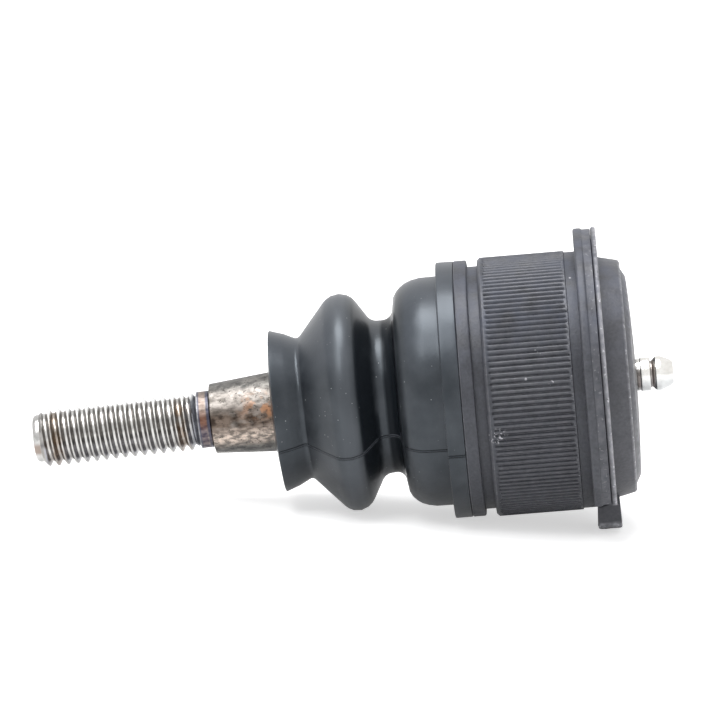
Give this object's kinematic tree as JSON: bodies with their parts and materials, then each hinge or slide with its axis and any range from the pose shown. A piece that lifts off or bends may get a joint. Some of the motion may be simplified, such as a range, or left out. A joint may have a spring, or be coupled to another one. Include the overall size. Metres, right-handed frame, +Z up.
{
  "type": "suspension ball joint",
  "caption": "Press-in suspension ball joint: a tapered, threaded ball stud swings in a knurled, flanged housing under a pleated rubber boot, with a grease fitting in the cover.",
  "frame": {"origin": "centre of the ball, about which the stud swings", "axes": "+X along the housing's axis from the ball to the grease fitting, so the stud points to -X; +Z is up as the joint lies, away from the lug on the flange"},
  "size_m": [0.1215, 0.057, 0.057],
  "materials": {
    "forged_steel": "blued, satin",
    "pressed_steel": "satin, slightly oiled",
    "turned_steel": "turned, with oxide on the taper",
    "bearing_steel": "ground, greased",
    "spring_steel": "bright drawn wire",
    "boot_rubber": "semi-gloss, as moulded",
    "ring_steel": "plain",
    "plated_steel": "bright plated"
  },
  "bodies": {
    "body": {"housing": "forged_steel", "cover": "pressed_steel", "upper_bearing": "bearing_steel", "preload_spring": "spring_steel", "grease_fitting": "plated_steel", "check_spring": "spring_steel"},
    "swing_plane": {"boot": "boot_rubber", "boot_ring": "ring_steel"},
    "tilt": {"lip_ring": "ring_steel"},
    "stud": {"ball_stud": "turned_steel"},
    "cup": {"lower_bearing": "bearing_steel", "pressure_plate": "bearing_steel"},
    "valve": {"check_ball": "plated_steel"}
  },
  "joints": [
    {"name": "swing_direction", "type": "hinge", "parent": "body", "child": "swing_plane", "pos_m": [0, 0, 0], "axis": [1, 0, 0], "continuous": true},
    {"name": "swing", "type": "hinge", "parent": "swing_plane", "child": "tilt", "pos_m": [0, 0, 0], "axis": [0, 1, 0], "range_deg": [-23, 26.9], "deforming": ["boot"]},
    {"name": "stud_spin", "type": "hinge", "parent": "tilt", "child": "stud", "pos_m": [0, 0, 0], "axis": [-0.9994, 0, -0.0337], "continuous": true},
    {"name": "cup_float", "type": "slide", "parent": "body", "child": "cup", "axis": [1, 0, 0], "range_m": [0, 0.0003], "stiffness_N_per_m": 20000, "deforming": ["preload_spring"]},
    {"name": "valve", "type": "slide", "parent": "body", "child": "valve", "axis": [-1, 0, 0], "range_m": [0, 0.0006], "stiffness_N_per_m": 100, "deforming": ["check_spring"]}
  ]
}
